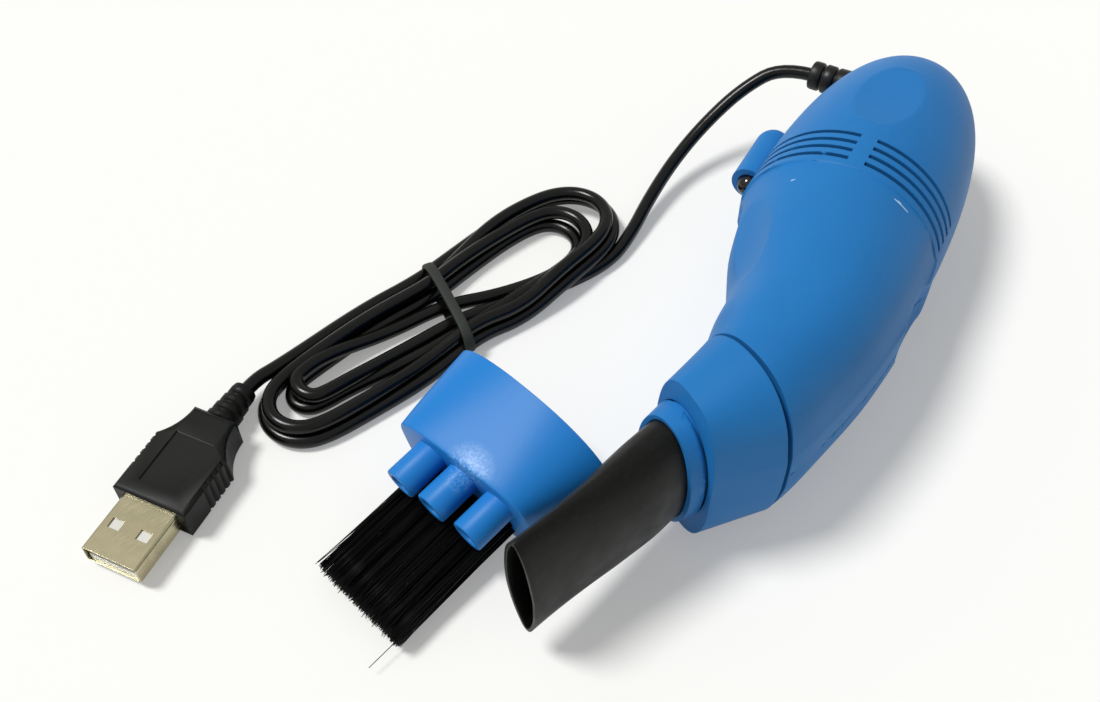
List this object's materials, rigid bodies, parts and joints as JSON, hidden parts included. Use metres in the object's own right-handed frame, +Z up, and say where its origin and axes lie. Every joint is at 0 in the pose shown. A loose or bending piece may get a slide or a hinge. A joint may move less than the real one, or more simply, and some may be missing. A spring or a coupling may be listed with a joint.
{
  "type": "desktop mini vacuum cleaner",
  "caption": "Hand-held mini vacuum cleaner with a vented round motor housing, push-on suction head and soft nozzle, loose brush head, lamp, and a cord with a flat plug.",
  "frame": {"origin": "bottom centre of the box around the cleaner and its heads, without the cord, on the surface that it lies on", "axes": "+X along the suction head's axis, from the nozzle towards the housing; +Z up, square to the parting plane of the two shells"},
  "size_m": [0.1985, 0.0955, 0.0412],
  "materials": {
    "shell": "satin moulded ABS, blue",
    "brush_shell": "satin moulded ABS, blue",
    "inner_plastic": "moulded plastic, natural white",
    "filter_cloth": "non-woven filter pad",
    "motor_steel": "zinc-plated steel can",
    "bearing_bronze": "sintered bronze",
    "shaft_steel": "ground steel",
    "contact_brass": "brass strip",
    "screw_steel": "zinc-plated steel",
    "lamp_lens": "clear epoxy, dark and glossy",
    "wire": "insulated wire",
    "switch_black": "moulded plastic, black",
    "boot_rubber": "moulded PVC, black",
    "tube_black": "soft heat-shrink tube, black",
    "bristle_black": "nylon bristles, black",
    "cord_black": "PVC cord jacket, black, slightly glossy",
    "tie_rubber": "rubber band, dark grey",
    "plug_black": "moulded PVC, black",
    "plug_nickel": "nickel-plated steel"
  },
  "bodies": {
    "housing": {"upper_shell": "shell", "lower_shell": "shell", "shell_screws": "screw_steel", "filter_frame": "shell", "dust_filter": "filter_cloth", "fan_bulkhead": "inner_plastic", "motor_can": "motor_steel", "motor_end_cap": "inner_plastic", "motor_bearings": "bearing_bronze", "motor_terminals": "contact_brass", "led_lamp": "lamp_lens", "lamp_leads": "wire", "switch_body": "switch_black", "switch_pins": "contact_brass", "cord_boot": "boot_rubber", "cord_lead": "cord_black", "cord_hank": "cord_black", "hank_tie": "tie_rubber", "cord_tail": "cord_black", "plug_relief": "plug_black", "plug_body": "plug_black", "plug_shell": "plug_nickel", "plug_tongue": "inner_plastic", "plug_contacts": "contact_brass"},
    "fan_rotor": {"impeller": "inner_plastic", "motor_shaft": "shaft_steel"},
    "switch_slider": {"switch_knob": "switch_black"},
    "suction_front": {"suction_head": "shell"},
    "soft_nozzle": {"nozzle_collar": "shell", "hose_nozzle": "tube_black"},
    "brush_attachment": {"brush_head": "brush_shell", "bristle_tufts": "bristle_black"}
  },
  "joints": [
    {"name": "fan_spin", "type": "hinge", "parent": "housing", "child": "fan_rotor", "pos_m": [0.03231, -0.00289, 0.0206], "axis": [0.9449, 0.3272, 0], "continuous": true},
    {"name": "switch_slide", "type": "slide", "parent": "housing", "child": "switch_slider", "axis": [0.9449, 0.3272, 0], "range_m": [0, 0.002]},
    {"name": "suction_head_pull", "type": "slide", "parent": "housing", "child": "suction_front", "axis": [-1, 0, 0], "range_m": [0, 0.0045]},
    {"name": "nozzle_pull", "type": "slide", "parent": "suction_front", "child": "soft_nozzle", "axis": [-1, 0, 0], "range_m": [0, 0.0045]},
    {"name": "brush_lift", "type": "slide", "parent": "housing", "child": "brush_attachment", "axis": [0, 0, 1], "range_m": [0, 0.06]}
  ]
}
